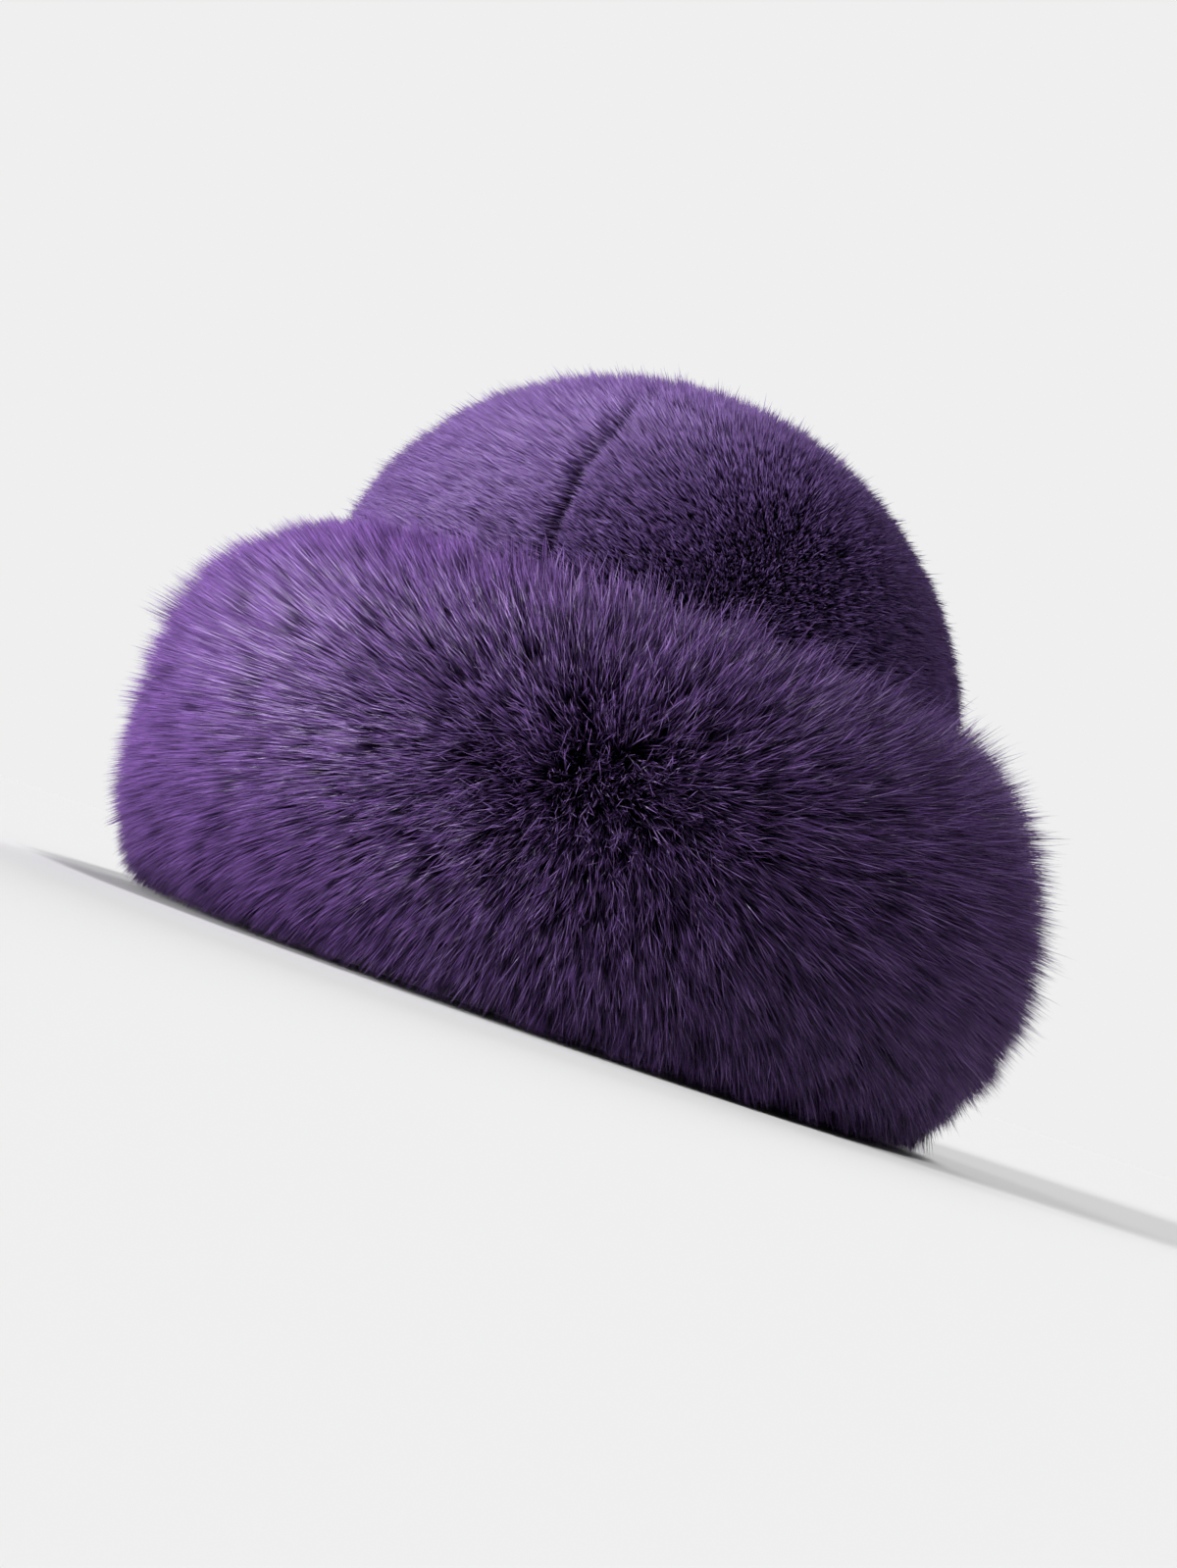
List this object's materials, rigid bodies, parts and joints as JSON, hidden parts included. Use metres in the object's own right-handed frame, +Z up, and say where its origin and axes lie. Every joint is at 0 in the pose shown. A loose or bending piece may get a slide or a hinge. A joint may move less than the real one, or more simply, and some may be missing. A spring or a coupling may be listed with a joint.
{
  "type": "faux fur winter hat",
  "caption": "Round winter hat of faux fur: a domed short-pile crown sewn from gores, and a deep flared long-pile brim faced with fur, open below for the head.",
  "frame": {"origin": "on the surface that the hat stands on, under the middle of the crown", "axes": "+Z up out of the crown's top, -Y the front, which carries the crown's visible seam, +X the hat's own left as it is worn, and the right of a viewer who faces the front"},
  "size_m": [0.3041, 0.3156, 0.2072],
  "materials": {
    "crown_fur": "short faux fur pile, violet, dark at the roots",
    "brim_fur": "long faux fur pile, violet, near black at the roots",
    "facing_fur": "faux fur pile, dark violet, brushed down towards the rim"
  },
  "bodies": {
    "root": {"crown_gore_front": "crown_fur", "crown_gore_right": "crown_fur", "crown_gore_back": "crown_fur", "crown_gore_left": "crown_fur", "brim": "brim_fur", "brim_facing": "facing_fur"}
  },
  "joints": []
}
